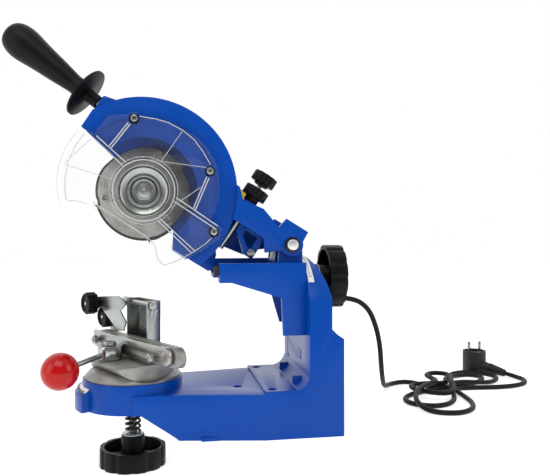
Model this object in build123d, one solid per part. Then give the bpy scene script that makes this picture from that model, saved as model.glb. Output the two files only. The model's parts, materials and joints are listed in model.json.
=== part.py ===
from build123d import *
import math
import os

os.makedirs("parts", exist_ok=True)

# Bench chain sharpener: millimetres, +Z up, +X from the vice to the column.
# The origin is midway between the rear pair of bench bolts, on the foot plane.

# ---- driving dimensions: base casting ----
TT_X = -163.0            # turntable axis, in front of the bench bolts
WALL = 5.0               # casting wall
SEAT_R = 60.0            # turntable seat ring
SEAT_LOW = 31.0          # underside of the seat ring
SEAT_TOP = 65.0          # face that carries the turntable
SPIGOT_R = 52.0          # recess that centres the turntable
SPIGOT_DEPTH = 5.0
DECK_Z = 53.0            # top of the deck
DECK_HALF_FRONT = 62.0   # half width beside the seat
DECK_HALF_REAR = 78.0    # half width from the bolts to the rear
DECK_FLARE_X = (-103.0, -10.0)
SLOPE_X = (-153.0, -108.0)   # sloped underside from the seat to the foot plane
PAD_Z = 56.0             # machined pad round the bench bolts
BOLT_SPAN = 128.0        # between the two rear bench bolts
BOLT_HOLE_R = 5.5
BOLT_BOSS_R = 11.0
THIRD_BOLT = (-37.0, -30.0)
COLUMN_FRONT = 42.5
COLUMN_REAR = 84.0
COLUMN_NECK = 69.5
COLUMN_STEP_Z = 115.0
ARCH_OVER = 8.0
ARCH_R = DECK_HALF_REAR + ARCH_OVER     # rounded head of the column, seen along X
ARCH_TOP = 210.0
CORNER_R = 6.0
NOSE_DEEP = 9.0
NOSE_R = SEAT_R + NOSE_DEEP     # ledge of the swivel scale
NOSE_HALF_DEG = 34.0
NOSE_Z = (50.0, 59.0)

# ---- driving dimensions: tilting arm ----
TILT_Z = 184.0           # tilt axis, along X at y = 0
TILT_STUD_R = 6.0
FACE_GAP = 0.2           # between two flat faces that slide or turn
FIT = 0.08               # radial clearance of a shaft in its bore
ARM_HALF = 60.0
ARM_TOP = 205.0
ARM_FRONT = -62.0
ARM_LEG_X = 14.0
ARM_LEG_Z = 118.0
ARM_LIP_Z = 182.0
ARM_FLANGE = 6.0
PIN_X = 28.0             # hinge pin of the head, along Y
PIN_Z = 226.0
PIN_R = 6.75
PIN_HALF = 51.0
HEAD_REST_DEG = 33.0     # the head rests raised by this angle
HEAD_SWING_DEG = 20.0    # down to where the depth screw lands
EAR_R = 14.0
EAR_IN = 38.0            # inner face of the fork cheeks
EAR_OUT = 44.0
ARM_EAR_T = 5.0          # ears of the arm, inside the cheeks
ARM_BOSS_HALF = 18.0     # middle boss of the hinge pin

# ---- driving dimensions: knobs ----
BIG_KNOB_R = 40.0
BIG_KNOB_DEPTH = 36.0
BIG_HUB_R = 14.0
TILT_KNOB_X = 71.5
TILT_HUB_LONG = 29.0
CLAMP_KNOB_LOW = -43.0
CLAMP_HUB_TOP = -3.0
STUD_R = 5.0
SPRING_R = 8.5
SPRING_WIRE_R = 1.5
SPRING_TURNS = 5
WASHER_T = 1.6
SMALL_KNOB_R = 15.5
SMALL_KNOB_H = 15.0


def block(x, y, z):
    """Box from three (low, high) pairs."""
    size = [pair[1] - pair[0] for pair in (x, y, z)]
    mid = [(pair[1] + pair[0]) / 2 for pair in (x, y, z)]
    return Pos(*mid) * Box(*size)


def rod(start, end, radius):
    """Cylinder between two points."""
    start, end = Vector(*start), Vector(*end)
    plane = Plane(origin=start, z_dir=end - start)
    return plane.location * Cylinder(radius, (end - start).length,
                                     align=(Align.CENTER, Align.CENTER, Align.MIN))


def tube(start, end, outer, inner):
    """Hollow cylinder between two points."""
    return rod(start, end, outer) - rod(start, end, inner)


def slab_xz(points, y_low, y_high):
    """Outline in X and Z, given thickness along Y."""
    face = Plane.XZ * make_face(Polyline(*points, close=True))
    return Pos(0, y_high, 0) * extrude(face, amount=y_high - y_low)


def slab_yz(points, x_low, x_high):
    face = Plane.YZ * make_face(Polyline(*points, close=True))
    return Pos(x_low, 0, 0) * extrude(face, amount=x_high - x_low)


def slab_xy(points, z_low, z_high):
    face = make_face(Polyline(*points, close=True))
    return Pos(0, 0, z_low) * extrude(face, amount=z_high - z_low)


def hexagon(start, end, across_flats):
    """Hexagonal prism between two points."""
    start, end = Vector(*start), Vector(*end)
    plane = Plane(origin=start, z_dir=end - start)
    face = RegularPolygon(across_flats / 2, 6, major_radius=False)
    return plane.location * extrude(face, amount=(end - start).length)


def fluted_knob(radius, depth, flutes, flute_r, bite):
    """Solid grip from z = 0 to depth, with round flutes biting into its rim."""
    grip = Cylinder(radius, depth, align=(Align.CENTER, Align.CENTER, Align.MIN))
    cutter = Cylinder(flute_r, depth, align=(Align.CENTER, Align.CENTER, Align.MIN))
    for place in PolarLocations(radius + flute_r - bite, flutes):
        grip -= place * cutter
    return grip


def write(name, shape):
    """One STEP file for each node."""
    solids = shape.solids()
    body = solids[0] if len(solids) == 1 else Compound(children=list(solids))
    body.label = name
    export_step(body, f"parts/{name}.step")
    print(f"{name:22s} solids {len(solids)}  volume {sum(s.volume for s in solids):.0f}")


# ---- base casting ----
def deck_plan(inset):
    """Plan of the deck and column foot, drawn in by a wall thickness."""
    front, rear = DECK_HALF_FRONT - inset, DECK_HALF_REAR - inset
    flare_0, flare_1 = DECK_FLARE_X
    end = COLUMN_REAR - inset
    half = [(TT_X, front), (flare_0, front), (flare_1, rear), (end, rear)]
    return half + [(x, -y) for x, y in reversed(half)]


def deck_solid(inset, top):
    body = slab_xy(deck_plan(inset), -1 if inset else 0, top)
    low, foot = SLOPE_X
    under = slab_xz([(TT_X - 90, -5), (TT_X - 90, SEAT_LOW + inset), (low - inset, SEAT_LOW + inset),
                     (foot - inset, inset if inset else 0), (foot - inset, -5)], -100, 100)
    return body - under


def column_section(inset):
    """Column seen along X: straight sides under a round head."""
    half = DECK_HALF_REAR - inset
    radius = ARCH_R - inset
    centre_z = ARCH_TOP - ARCH_R
    shoulder = centre_z + math.sqrt(radius ** 2 - half ** 2)
    side = Polyline((half, shoulder), (half, -1 if inset else 0), (-half, -1 if inset else 0), (-half, shoulder))
    head = ThreePointArc((-half, shoulder), (0, centre_z + radius), (half, shoulder))
    return make_face([side, head])


def column_profile():
    """Column seen along Y: thick foot, step, neck and leaning top."""
    return [(COLUMN_FRONT, 0), (COLUMN_REAR - 7, 0), (COLUMN_REAR - 2, 2), (COLUMN_REAR, 7), (COLUMN_REAR, COLUMN_STEP_Z),
            (COLUMN_NECK + 6, COLUMN_STEP_Z + 6), (COLUMN_NECK, COLUMN_STEP_Z + 12),
            (COLUMN_NECK, 166), (66, 181), (61, 196), (52, ARCH_TOP + 1), (COLUMN_FRONT, ARCH_TOP + 1)]


def column_solid():
    side = slab_xz(column_profile(), -DECK_HALF_REAR, DECK_HALF_REAR)
    section = Pos(COLUMN_FRONT, 0, 0) * extrude(Plane.YZ * column_section(0),
                                                amount=COLUMN_REAR - COLUMN_FRONT)
    return side & section


def column_hollow():
    inner = Pos(COLUMN_FRONT + WALL, 0, 0) * extrude(Plane.YZ * column_section(WALL),
                                                     amount=COLUMN_REAR - COLUMN_FRONT - 2 * WALL)
    lower = inner & block((COLUMN_FRONT + WALL, COLUMN_REAR - WALL), (-100, 100), (-1, COLUMN_STEP_Z - WALL))
    upper = inner & block((COLUMN_FRONT + WALL, COLUMN_NECK - 2 * WALL), (-100, 100),
                          (COLUMN_STEP_Z - WALL, ARCH_TOP - 3 * WALL))
    return lower + upper


def nose_ledge(radius, lift, low):
    """Sector in front of the seat whose top falls outwards."""
    profile = make_face(Polyline((SEAT_R - 3, low), (radius, low), (radius, NOSE_Z[0] + lift),
                                 (SEAT_R - 3, NOSE_Z[1] + lift), close=True))
    sector = revolve(Plane.XZ * profile, axis=Axis.Z, revolution_arc=2 * NOSE_HALF_DEG)
    return Pos(TT_X, 0, 0) * Rot(0, 0, 180 - NOSE_HALF_DEG) * sector


def base_frame():
    seat = Pos(TT_X, 0, SEAT_LOW) * Cylinder(SEAT_R, SEAT_TOP - SEAT_LOW,
                                             align=(Align.CENTER, Align.CENTER, Align.MIN))
    body = deck_solid(0, DECK_Z) + column_solid() + seat + nose_ledge(NOSE_R, 0, SEAT_LOW)
    pad = block((DECK_FLARE_X[1], COLUMN_FRONT + 1), (-DECK_HALF_REAR, DECK_HALF_REAR), (DECK_Z - 1, PAD_Z))
    body += pad
    body -= deck_solid(WALL, DECK_Z - WALL) & block((TT_X + SEAT_R - 2 * WALL, COLUMN_REAR - WALL),
                                                    (-100, 100), (-1, DECK_Z))
    body -= column_hollow()
    # hollow under the seat, with a boss for the clamping stud
    under = rod((TT_X, 0, SEAT_LOW - 1), (TT_X, 0, SEAT_TOP - SPIGOT_DEPTH - WALL - 2), SEAT_R - WALL)
    body -= under - rod((TT_X, 0, SEAT_LOW - 2), (TT_X, 0, SEAT_TOP), SPRING_R + 8)
    body -= rod((TT_X, 0, SEAT_TOP - SPIGOT_DEPTH), (TT_X, 0, SEAT_TOP + 1), SPIGOT_R)
    body -= rod((TT_X, 0, 0), (TT_X, 0, SEAT_TOP), STUD_R + FIT)
    # bench bolt bosses and the tilt stud's boss
    half = BOLT_SPAN / 2
    for x, y in ((0, half), (0, -half), THIRD_BOLT):
        body += rod((x, y, 0), (x, y, PAD_Z if x == 0 else DECK_Z), BOLT_BOSS_R)
        body -= rod((x, y, -1), (x, y, PAD_Z + 1), BOLT_HOLE_R)
    body += rod((COLUMN_FRONT + 1, 0, TILT_Z), (COLUMN_NECK - 1, 0, TILT_Z), TILT_STUD_R + 10)
    body -= rod((COLUMN_FRONT - 1, 0, TILT_Z), (COLUMN_NECK + 1, 0, TILT_Z), TILT_STUD_R + FIT)
    # slot and small holes in the front of the column, lugs under the deck's edge
    body -= block((COLUMN_FRONT - 1, COLUMN_FRONT + WALL + 1), (-30, -26), (83, 95))
    for z in (74.0, 103.0):
        body -= rod((COLUMN_FRONT - 1, 52, z), (COLUMN_FRONT + WALL + 1, 52, z), 3)
    for side in (1, -1):
        body += block((-84, -63), sorted((side * 60, side * 69.6)), (0, 4))
    # cable entry at the rear
    body -= rod((COLUMN_NECK - 12, GLAND_Y, GLAND_Z), (COLUMN_NECK + 4, GLAND_Y, GLAND_Z), GLAND_HOLE_R)
    # two sloped pockets where the deck meets the column
    fillet_r = 16
    root = slab_xz([(COLUMN_FRONT + 1, PAD_Z - 1), (COLUMN_FRONT + 1, PAD_Z + fillet_r),
                    (COLUMN_FRONT - fillet_r, PAD_Z - 1)], -DECK_HALF_REAR, DECK_HALF_REAR)
    root -= rod((COLUMN_FRONT - fillet_r - 3, -90, PAD_Z + fillet_r + 3),
                (COLUMN_FRONT - fillet_r - 3, 90, PAD_Z + fillet_r + 3), fillet_r + 3)
    body += root
    for side in (1, -1):
        body += block((COLUMN_FRONT - 14, COLUMN_FRONT + 1), sorted((side * 40, side * 46)), (PAD_Z - 1, PAD_Z + 10))
    return body


# ---- cable entry at the rear of the column ----
GLAND_Y = 46.0
GLAND_Z = 150.0
GLAND_HOLE_R = 7.0
GLAND_LONG = 34.0
CORD_R = 3.5


def cord_gland():
    """Moulded bend protector: collar, tapered sleeve and a stub through the wall."""
    x = COLUMN_NECK
    body = rod((x - 9, GLAND_Y, GLAND_Z), (x, GLAND_Y, GLAND_Z), GLAND_HOLE_R)
    body += rod((x, GLAND_Y, GLAND_Z), (x + 4, GLAND_Y, GLAND_Z), GLAND_HOLE_R + 3)
    sleeve = Cone(GLAND_HOLE_R, CORD_R + 1.2, GLAND_LONG, align=(Align.CENTER, Align.CENTER, Align.MIN))
    body += Pos(x + 4, GLAND_Y, GLAND_Z) * Rot(0, 90, 0) * sleeve
    return body


def tilt_scale_plate():
    """Thin scale bent over the round head of the column, at its front edge."""
    centre_z = ARCH_TOP - ARCH_R
    strip = tube((COLUMN_FRONT + 1.5, 0, centre_z), (COLUMN_FRONT + 8.5, 0, centre_z), ARCH_R + 0.8, ARCH_R)
    return strip & slab_yz([(0, centre_z), (-110, centre_z + 99), (-110, 260), (110, 260), (110, centre_z + 99)],
                           COLUMN_FRONT, COLUMN_FRONT + 12)


def angle_scale_plate():
    plate = nose_ledge(NOSE_R - 1, 1.0, SEAT_LOW) - nose_ledge(NOSE_R + 1, 0, SEAT_LOW - 1)
    return plate - rod((TT_X, 0, SEAT_LOW), (TT_X, 0, SEAT_TOP + 5), SEAT_R)


# ---- tilting arm ----
def arm_wall(front):
    return [(ARM_FRONT, ARM_TOP), (COLUMN_FRONT - FACE_GAP, ARM_TOP), (COLUMN_FRONT - FACE_GAP, ARM_LEG_Z)] + front


def support_arm():
    """Open channel: two cheeks, a floor that carries the depth stop, a rear flange and the pin boss."""
    near = arm_wall([(ARM_LEG_X, ARM_LEG_Z), (ARM_LEG_X - 2, 163), (-48, ARM_LIP_Z), (ARM_FRONT, ARM_LIP_Z)])
    far = arm_wall([(ARM_LEG_X + 17, ARM_LEG_Z), (ARM_LEG_X + 4, 163), (-48, ARM_LIP_Z), (ARM_FRONT, ARM_LIP_Z)])
    body = slab_xz(near, -ARM_HALF, -ARM_HALF + WALL) + slab_xz(far, ARM_HALF - WALL, ARM_HALF)
    floor = [(ARM_FRONT, ARM_LIP_Z), (-48, ARM_LIP_Z), (ARM_LEG_X, 163), (COLUMN_FRONT - FACE_GAP, 163),
             (COLUMN_FRONT - FACE_GAP, 168), (ARM_LEG_X, 168), (-47, ARM_LIP_Z + 5), (ARM_FRONT, ARM_LIP_Z + 5)]
    body += slab_xz(floor, -ARM_HALF + 1, ARM_HALF - 1)
    flange = [(-ARM_HALF, ARM_LEG_Z), (ARM_HALF, ARM_LEG_Z), (ARM_HALF, ARM_TOP), (-ARM_HALF, ARM_TOP)]
    body += slab_yz(flange, COLUMN_FRONT - FACE_GAP - ARM_FLANGE, COLUMN_FRONT - FACE_GAP)
    # central boss that carries the hinge pin
    half = ARM_BOSS_HALF
    boss = [(PIN_X - 24, 165), (PIN_X - EAR_R, PIN_Z), (PIN_X + EAR_R, PIN_Z), (PIN_X + EAR_R, 165)]
    body += slab_xz(boss, -half, half) + rod((PIN_X, -half, PIN_Z), (PIN_X, half, PIN_Z), EAR_R)
    rear = COLUMN_FRONT - FACE_GAP
    ear = [(8, 164), (12, ARM_TOP), (PIN_X - EAR_R, PIN_Z), (PIN_X + EAR_R - 0.1, PIN_Z), (rear, ARM_TOP), (rear, 164)]
    for side in (1, -1):
        low, high = sorted((side * (EAR_IN - FACE_GAP), side * (EAR_IN - FACE_GAP - ARM_EAR_T)))
        body += slab_xz(ear, low, high) + rod((PIN_X, low, PIN_Z), (PIN_X, high, PIN_Z), EAR_R)
    body -= rod((PIN_X, -80, PIN_Z), (PIN_X, 80, PIN_Z), PIN_R)
    # notch in the floor for the foot of the guard body
    body -= block((ARM_FRONT - 1, -46), (-FOOT_V - 2, 22), (ARM_LIP_Z - 1, ARM_LIP_Z + 12))
    # pad under the depth screw
    x, y = stop_pad_centre()
    body += rod((x, y, ARM_LIP_Z + 3), (x, y, stop_pad_top()), 9)
    # passage for the head of the tilt stud, and its hole in the flange
    flange_front = COLUMN_FRONT - FACE_GAP - ARM_FLANGE
    body -= rod((ARM_FRONT, 0, TILT_Z), (flange_front, 0, TILT_Z), 2 * TILT_STUD_R)
    # front of the pad cut back beside the round body of the head
    body -= block((ARM_FRONT - 1, PAD_FRONT_X), (-40, -FOOT_V - 1), (ARM_LIP_Z - 1, ARM_LIP_Z + 14))
    return body - rod((ARM_FRONT, 0, TILT_Z), (COLUMN_FRONT + 1, 0, TILT_Z), TILT_STUD_R)


def tilt_stud():
    head = hexagon((COLUMN_FRONT - FACE_GAP - ARM_FLANGE - 8, 0, TILT_Z),
                   (COLUMN_FRONT - FACE_GAP - ARM_FLANGE, 0, TILT_Z), 19)
    return head + rod((COLUMN_FRONT - FACE_GAP - ARM_FLANGE, 0, TILT_Z),
                      (TILT_KNOB_X + TILT_HUB_LONG - 6, 0, TILT_Z), TILT_STUD_R)


def hinge_pin():
    return rod((PIN_X, -PIN_HALF, PIN_Z), (PIN_X, PIN_HALF, PIN_Z), PIN_R - FIT)


def hinge_clips():
    """Two circlips outside the fork cheeks."""
    clips = Part()
    for side in (1, -1):
        low = side * (EAR_OUT + 0.6)
        clips += tube((PIN_X, low, PIN_Z), (PIN_X, low + side * 1.4, PIN_Z), PIN_R + 2.6, PIN_R - FIT)
    return clips


def rest_bumper():
    """Rubber bumper on the front edge of the arm."""
    radius = 6
    y = -ARM_HALF + WALL + radius
    return rod((ARM_FRONT - 6, y, ARM_TOP - 9), (ARM_FRONT + 10, y, ARM_TOP - 9), radius)


def return_spring():
    """Coils beside the pin boss that lift the head."""
    coils = Part()
    for index in range(4):
        y = ARM_BOSS_HALF + 1.8 + index * 3.4
        coil = Torus(PIN_R + 1.6, 1.4)
        coils += Pos(PIN_X, y, PIN_Z) * Rot(90, 0, 0) * coil
    return coils


# ---- big knobs on the two studs ----
def big_knob(stud_r, hub_long):
    """Deep knob: fluted rim, floor, four ribs and a hub; open end at z = 0."""
    wall = 5.5
    rim = fluted_knob(BIG_KNOB_R, 22, 12, 9, 1.6)
    rim -= Pos(0, 0, -1) * Cylinder(BIG_KNOB_R - wall, 18, align=(Align.CENTER, Align.CENTER, Align.MIN))
    hub = Cylinder(BIG_HUB_R, hub_long, align=(Align.CENTER, Align.CENTER, Align.MIN))
    body = rim + Pos(0, 0, 22 - hub_long) * hub
    for angle in (0, 90):
        body += Rot(0, 0, angle) * block((-BIG_KNOB_R + 3, BIG_KNOB_R - 3), (-2, 2), (8, 20))
    return body - Pos(0, 0, 22 - hub_long - 1) * Cylinder(
        stud_r + FIT, hub_long - 3, align=(Align.CENTER, Align.CENTER, Align.MIN))


def tilt_knob():
    start = TILT_KNOB_X + TILT_HUB_LONG - 22
    return Pos(start, 0, TILT_Z) * Rot(0, 90, 0) * big_knob(TILT_STUD_R, TILT_HUB_LONG)


def tilt_washer():
    return tube((COLUMN_NECK + 0.3, 0, TILT_Z), (TILT_KNOB_X - 0.2, 0, TILT_Z), 15, TILT_STUD_R + FIT)


def clamp_knob():
    return Pos(TT_X, 0, CLAMP_KNOB_LOW + 22) * Rot(180, 0, 0) * big_knob(STUD_R, BIG_KNOB_DEPTH)


def knob_washer():
    low = CLAMP_KNOB_LOW + BIG_KNOB_DEPTH
    return tube((TT_X, 0, low), (TT_X, 0, low + WASHER_T), BIG_HUB_R - 1, STUD_R + FIT)


def knob_spring():
    low = CLAMP_KNOB_LOW + BIG_KNOB_DEPTH + WASHER_T + SPRING_WIRE_R + 0.2
    high = SEAT_LOW - 1 - SPRING_WIRE_R - 0.2
    path = Helix(pitch=(high - low) / SPRING_TURNS, height=high - low, radius=SPRING_R)
    section = Plane(origin=path @ 0, z_dir=path % 0) * Circle(SPRING_WIRE_R)
    return Pos(TT_X, 0, low) * sweep(section, path=path)


# ---- grinding head, drawn level: u from the pin, v towards the operator, w up ----
tilt = math.radians(HEAD_REST_DEG)
HEAD = Plane(origin=(PIN_X, 0, PIN_Z), x_dir=(-math.cos(tilt), 0, math.sin(tilt)),
             z_dir=(math.sin(tilt), 0, math.cos(tilt))).location
HOUSING_NEAR = 72.9      # nearest point of the round body to the hinge pin
HOUSING_R = 111.5
HOUSING_WALL = 6.0
HOUSING_IN = HOUSING_R - HOUSING_WALL
SPINDLE = (HOUSING_NEAR + HOUSING_R, -42.3)
BOSS_END = 101.0         # flat end of the body under the side handle, from the spindle
MOUTH_R = 63.5
RECESS_R = 87.0
FACE_V = 35.0
FACE_T = 5.0
BACK_V = -15.0
BACK_T = 5.0
MOTOR_R = 61.0
SHIELD_R = 57.5
MOTOR_LONG = 86.0
CAP_LONG = 20.0
SHAFT_R = 6.0
BEARING_R = 16.0
FLANGE_R = 32.2
WHEEL_SEAT_R = 11.1
WHEEL_GAP = 5.0
DEPTH_UV = (70.0, 25.0)  # depth screw, along w
DEPTH_ROD_R = 3.25
DEPTH_END_W = -50.0
SWITCH_V = -44.0         # front of the switch box, on the rear cheek
SWITCH_U = (60.0, 92.0)
SWITCH_W = (2.0, 32.0)
BUTTON_R = 5.0
BUTTON_W = 17.0
GUARD_V = 38.0
GUARD_T = 2.5
SKIRT_DEEP = 4.5
HUB_HOLE_R = 35.0
REAR_WALL_V = -38.0
DEPTH_BOSS_W = 17.0      # top of the boss of the depth screw


FOOT_W = -82.0           # underside of the foot
FOOT_OUTLINE = [(100, -50), (76, -50), (68, -60), (63, -79), (66, FOOT_W), (118, FOOT_W)]
FOOT_V = 14.0            # front of the foot, behind the pad of the depth screw
PAD_FRONT_X = -54.4


def stop_pad_centre():
    angle = math.radians(HEAD_REST_DEG - HEAD_SWING_DEG)
    x = PIN_X - DEPTH_UV[0] * math.cos(angle) + DEPTH_END_W * math.sin(angle)
    return x, -DEPTH_UV[1]


def stop_pad_top():
    angle = math.radians(HEAD_REST_DEG - HEAD_SWING_DEG)
    edge = DEPTH_ROD_R * math.sin(angle)
    return PIN_Z + DEPTH_UV[0] * math.sin(angle) + DEPTH_END_W * math.cos(angle) - edge - 0.4


def at_spindle(v_low, v_high, radius):
    return rod((SPINDLE[0], v_low, SPINDLE[1]), (SPINDLE[0], v_high, SPINDLE[1]), radius)


def round_spindle(points):
    """Corners given from the spindle, moved to their place."""
    return [(SPINDLE[0] + u, SPINDLE[1] + w) for u, w in points]


def housing_outline(v_low, v_high):
    """Round guard body with its lower left cut away and a foot at the lower right."""
    body = at_spindle(v_low, v_high, HOUSING_R)
    end = BOSS_END
    away = [(end, 23.4), (39.6, 11.6), (-34.4, 10.8), (-66.4, -39.7), (-66.4, -160), (end + 100, -160),
            (end + 100, 45.4)]
    body -= slab_xz(round_spindle(away), v_low - 1, v_high + 1)
    body -= slab_xz(round_spindle([(end, -18), (end, 142), (end + 100, 142), (end + 100, -18)]), v_low - 1, v_high + 1)
    body -= slab_xz([(0, FOOT_W), (400, FOOT_W), (400, -200), (0, -200)], v_low - 1, v_high + 1)
    body += slab_xz([(100, -50), (88, -50), (86, -60), (90, FOOT_W), (118, FOOT_W)], v_low, v_high)
    return body + slab_xz(FOOT_OUTLINE, v_low, FOOT_V)


def head_housing():
    body = housing_outline(BACK_V - BACK_T, FACE_V)
    chamber = at_spindle(BACK_V, FACE_V - FACE_T, HOUSING_IN)
    chamber &= slab_xz([(0, -77), (400, -77), (400, 200), (0, 200)], -200, 200)
    body -= chamber
    body -= at_spindle(FACE_V - FACE_T - 1, FACE_V + 1, MOUTH_R)
    body -= at_spindle(FACE_V - 1.6, FACE_V + 1, RECESS_R)
    body -= at_spindle(BACK_V - BACK_T - 1, BACK_V + 1, BEARING_R + 8)
    # boss for the side handle
    boss = [(77.6, 64.3), (81.6, 74.3), (91.6, 71.8), (100.1, 69.3), (BOSS_END, 67.3), (BOSS_END, 38.3), (85.6, 38.3)]
    body += slab_xz(round_spindle(boss), -8, 26)
    body -= HANDLE * rod((0, 0, -30), (0, 0, 2), HANDLE_STUD_R)
    for u, w in guard_screw_places():
        body += rod((u, FACE_V - FACE_T, w), (u, GUARD_V, w), 6)
        body -= rod((u, FACE_V - FACE_T, w), (u, GUARD_V + 1, w), 2.2)
    # bridge to the hinge: roof, two cheeks and the lug of the depth screw
    roof = [(104, 24), (92, 24), (80, 13), (53, 17.6), (25, 9), (12, 17), (12, 11), (25, 3), (53, 11), (84, 1), (104, 1)]
    bridge = slab_xz(roof, -EAR_OUT, EAR_OUT)
    bridge += slab_xz([(106, -50), (76, -50), (84, 8), (106, 8)], -EAR_OUT, BACK_V - BACK_T + 1)
    bridge += slab_xz([(106, -50), (88, -50), (84, 8), (106, 8)], FACE_V - 1, EAR_OUT)
    cheek = [(96, -14), (85, 7), (53, 17.2), (25.5, 8.5), (22.8, 23), (-8.5, 23.9), (-9.8, 7), (2, -9),
             (23, -26), (34, -12), (60, -12)]
    for low, high in ((-EAR_OUT, -EAR_IN), (EAR_IN, EAR_OUT)):
        bridge += slab_xz(cheek, low, high) + rod((0, low, 0), (0, high, 0), EAR_R)
    # wall behind the depth screw that closes the bridge at the rear
    bridge += slab_xz([(88, 4), (53, 14), (26, 6), (23, -26), (34, -40), (78, -48)], REAR_WALL_V, REAR_WALL_V + 4)
    bridge -= at_spindle(-60, 60, HOUSING_R - 1)
    body += bridge
    u, v = DEPTH_UV
    body += rod((u, v, -10), (u, v, DEPTH_BOSS_W), 8)
    body -= rod((u, v, -60), (u, v, 30), DEPTH_ROD_R + FIT)
    lug = [(30, -41), (42, -41), (65, -22), (65, 10), (30, 8)]
    body += slab_xz(lug, v - 4, v + 4) - slab_xz([(38, -15), (56, -15), (56, -22), (44, -31), (38, -31)], 0, 60)
    body -= rod((35.8, v - 10, -35), (35.8, v + 10, -35), 2.6)
    body -= rod((0, -80, 0), (0, 80, 0), PIN_R)
    return body


def guard_screw_places():
    u, w = SPINDLE
    return [(u - 52.5, w + 62.5), (u + 55.5, w + 65), (88.5, -38.5)]


def guard_screws():
    screws = Part()
    for u, w in guard_screw_places():
        screws += rod((u, FACE_V - 2, w), (u, GUARD_V + GUARD_T, w), 2.1)
        screws += rod((u, GUARD_V + GUARD_T, w), (u, GUARD_V + GUARD_T + 2.6, w), 4.2)
    return screws


def guard_outline():
    """Outline of the transparent guard round the spindle, its hub hole left for later."""
    top, end = (82.1, 50.3), (83.9, 23.6)
    low_left, low_right, side = (69.6, -66.7), (-79.6, -52), (-105.9, 0.3)
    low = [low_left, (42.1, -45.9), (-33.4, -46.4), (-46.4, -50.7), (-56.4, -62.3), (-67.7, -65.2), low_right]
    return [Polyline(end, (99.6, 21.8)),
            ThreePointArc((99.6, 21.8), (92.6, -37.7), low_left),
            Polyline(*low),
            ThreePointArc(low_right, (-92.4, -30.3), side),
            Polyline(side, (-103.4, 13.3), (-84.4, 14.3)),
            ThreePointArc((-84.4, 14.3), (-60.4, 68.3), (0, 87.3)),
            ThreePointArc((0, 87.3), (51.6, 72.3), top),
            Polyline(top, end)]


def clear_guard():
    face = make_face(guard_outline())
    plate = Pos(SPINDLE[0], GUARD_V + GUARD_T, SPINDLE[1]) * extrude(Plane.XZ * face, amount=GUARD_T)
    plate -= at_spindle(GUARD_V - 1, GUARD_V + 4, HUB_HOLE_R)
    for u, w in guard_screw_places():
        plate += rod((u, GUARD_V, w), (u, GUARD_V + GUARD_T, w), 8)
        plate -= rod((u, GUARD_V - 1, w), (u, GUARD_V + GUARD_T + 1, w), 2.2)
    # skirt round the part below the housing, turned towards the wheel
    skirt_face = face - offset(face, amount=-2.2)
    skirt = Pos(SPINDLE[0], GUARD_V, SPINDLE[1]) * extrude(Plane.XZ * skirt_face, amount=SKIRT_DEEP)
    below = [(-34.4, 8.3), (95.6, 10.3), (115.6, 22.3), (115.6, -157.7), (-34.4, -157.7)]
    skirt &= slab_xz(round_spindle(below), 0, 60)
    return plate + skirt


def motor_front_bracket():
    """Cast end shield of the motor, in front of the housing's back wall."""
    body = at_spindle(BACK_V, BACK_V + 6, SHIELD_R) + at_spindle(BACK_V, BACK_V + 10, SHIELD_R - 14)
    for angle in (78, 198, 318):
        a = math.radians(angle)
        u, w = SPINDLE[0] + (SHIELD_R - 8) * math.cos(a), SPINDLE[1] + (SHIELD_R - 8) * math.sin(a)
        body += rod((u, BACK_V, w), (u, BACK_V + 10, w), 7)
        body -= rod((u, BACK_V + 5, w), (u, BACK_V + 11, w), 4)
    body += at_spindle(BACK_V, BACK_V + 14, BEARING_R + 5)
    return body - at_spindle(BACK_V - 1, BACK_V + 11, BEARING_R) - at_spindle(-90, 90, SHAFT_R + 1)


def motor_body():
    """Finned cylinder of the motor, open at the rear."""
    front = BACK_V - BACK_T
    body = at_spindle(front - MOTOR_LONG, front, MOTOR_R) - at_spindle(front - MOTOR_LONG - 1, front - 6,
                                                                       MOTOR_R - 5)
    return body - at_spindle(front - 10, front + 1, BEARING_R + 8)


def motor_end_cap():
    rear = BACK_V - BACK_T - MOTOR_LONG
    body = at_spindle(rear - CAP_LONG, rear, MOTOR_R) - at_spindle(rear - CAP_LONG + 5, rear + 1, MOTOR_R - 5)
    body += at_spindle(rear - CAP_LONG + 4, rear - 4, BEARING_R + 5)
    body -= at_spindle(rear - CAP_LONG + 7, rear, BEARING_R)
    slot = slab_xz([(SPINDLE[0] + 24, SPINDLE[1] - 2), (SPINDLE[0] + 46, SPINDLE[1] - 2),
                    (SPINDLE[0] + 46, SPINDLE[1] + 2), (SPINDLE[0] + 24, SPINDLE[1] + 2)],
                   rear - CAP_LONG - 1, rear - CAP_LONG + 6)
    centre = Pos(SPINDLE[0], 0, SPINDLE[1])
    for index in range(12):
        body -= centre * Rot(0, index * 30, 0) * Pos(-SPINDLE[0], 0, -SPINDLE[1]) * slot
    return body


def motor_stator():
    front = BACK_V - BACK_T
    return at_spindle(front - 68, front - 24, MOTOR_R - 5) - at_spindle(front - 69, front - 23, 32)


def shaft_bearings():
    rear = BACK_V - BACK_T - MOTOR_LONG
    front_ring = at_spindle(BACK_V, BACK_V + 11, BEARING_R) - at_spindle(-90, 90, SHAFT_R + FIT)
    rear_ring = at_spindle(rear - CAP_LONG + 7, rear - 4, BEARING_R) - at_spindle(-190, 90, SHAFT_R + FIT)
    return front_ring + rear_ring


def rotor_shaft():
    rear = BACK_V - BACK_T - MOTOR_LONG
    body = at_spindle(rear - CAP_LONG + 8, 24, SHAFT_R)
    return body + at_spindle(BACK_V - BACK_T - 68, BACK_V - BACK_T - 24, 31)


def inner_flange():
    body = at_spindle(2, 6, FLANGE_R) + at_spindle(6, 6 + WHEEL_GAP, WHEEL_SEAT_R)
    return body - at_spindle(-90, 90, SHAFT_R)


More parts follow.
